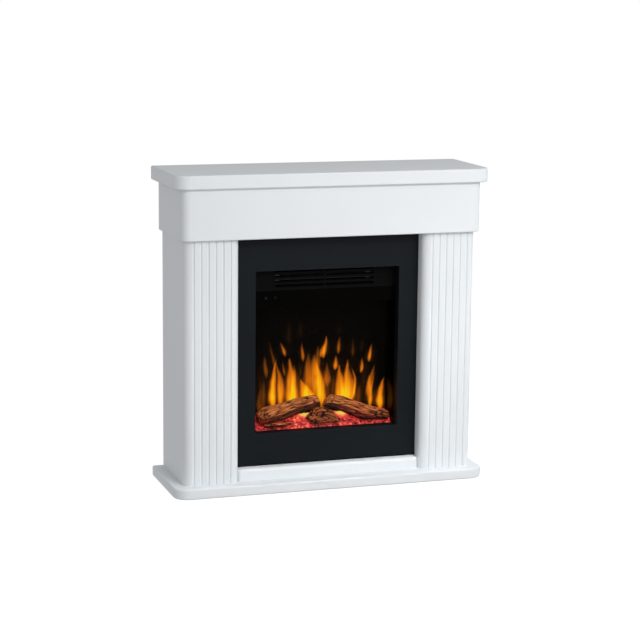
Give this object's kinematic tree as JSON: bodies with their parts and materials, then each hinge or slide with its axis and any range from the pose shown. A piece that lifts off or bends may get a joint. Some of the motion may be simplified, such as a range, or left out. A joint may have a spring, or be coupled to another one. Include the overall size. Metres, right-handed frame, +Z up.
{
  "type": "electric fireplace",
  "caption": "Free-standing electric fireplace: white boarded surround with fluted columns and shelf, and a black insert with flame effect, log set, fan heater and push buttons.",
  "frame": {"origin": "middle of the footprint on the floor", "axes": "+Z up, -Y the front with the fire, +X to the right seen from the front"},
  "size_m": [0.8, 0.25, 0.784],
  "materials": {
    "white_board": "satin painted MDF",
    "raw_board": "plain MDF",
    "beech": "plain beech",
    "zinc_steel": "zinc plated",
    "cast_zinc": "cast zinc",
    "black_steel": "fine satin black powder coat",
    "case_steel": "black powder coat",
    "black_plastic": "moulded matt black",
    "gloss_black": "gloss black",
    "clear_glass": "clear tempered glass",
    "circuit_board": "circuit board green",
    "flame_screen": "smoked translucent acrylic",
    "embers": "translucent moulded coals lit from below",
    "log_bark": "cast resin bark",
    "mirror_sheet": "polished",
    "bush_plastic": "acetal",
    "bare_aluminium": "bare",
    "motor_iron": "laminated core, wound coil",
    "cable_sleeve": "black sleeve",
    "white_plastic": "moulded"
  },
  "bodies": {
    "root": {"base_plinth": "white_board", "mantel_shelf": "white_board", "frieze_front": "white_board", "frieze_sides": "white_board", "soffit_board": "white_board", "back_rail": "raw_board", "hearth_sill": "white_board", "column_front_left": "white_board", "column_front_right": "white_board", "column_sides_left": "white_board", "column_sides_right": "white_board", "support_rails": "raw_board", "cam_bolts": "zinc_steel", "cam_locks": "cast_zinc", "dowels": "beech", "frieze_brackets": "zinc_steel", "wall_brackets": "zinc_steel", "pan_screws": "zinc_steel", "trim_top": "black_steel", "trim_bottom": "black_steel", "trim_left": "black_steel", "trim_right": "black_steel", "case_side_left": "case_steel", "case_side_right": "case_steel", "case_floor": "case_steel", "case_roof": "case_steel", "back_cover": "case_steel", "insert_tabs": "case_steel", "heater_shelf": "case_steel", "ember_tray": "case_steel", "louvre_grille": "black_plastic", "control_panel": "gloss_black", "glass_pane": "clear_glass", "glass_clips": "zinc_steel", "button_board": "circuit_board", "firebox_liners": "gloss_black", "flame_screen": "flame_screen", "ember_bed": "embers", "log_left": "log_bark", "log_right": "log_bark", "log_centre": "log_bark", "kindling_stick": "log_bark", "flame_stencil": "mirror_sheet", "rotor_brackets": "case_steel", "rotor_motor": "zinc_steel", "shaft_bushes": "bush_plastic", "lamp_boards": "circuit_board", "blower_duct": "case_steel", "blower_ends": "case_steel", "fan_motor": "motor_iron", "heater_core": "bare_aluminium", "thermal_cutout": "black_plastic", "power_board": "circuit_board", "terminal_block": "white_plastic", "cable_gland": "black_plastic", "supply_lead": "cable_sleeve"},
    "fan_impeller": {"fan_impeller": "bare_aluminium"},
    "flame_rotor": {"flame_rotor": "mirror_sheet"},
    "flame_button": {"flame_button": "gloss_black"},
    "heat_button": {"heat_button": "gloss_black"}
  },
  "joints": [
    {"name": "fan_spin", "type": "hinge", "parent": "root", "child": "fan_impeller", "pos_m": [0, 0.045, 0.556], "axis": [1, 0, 0], "continuous": true},
    {"name": "rotor_spin", "type": "hinge", "parent": "root", "child": "flame_rotor", "pos_m": [0, 0.08, 0.168], "axis": [1, 0, 0], "continuous": true},
    {"name": "flame_button_push", "type": "slide", "parent": "root", "child": "flame_button", "axis": [0, 1, 0], "range_m": [0, 0.0015], "stiffness_N_per_m": 1500, "springref_m": -0.0005},
    {"name": "heat_button_push", "type": "slide", "parent": "root", "child": "heat_button", "axis": [0, 1, 0], "range_m": [0, 0.0015], "stiffness_N_per_m": 1500, "springref_m": -0.0005}
  ]
}
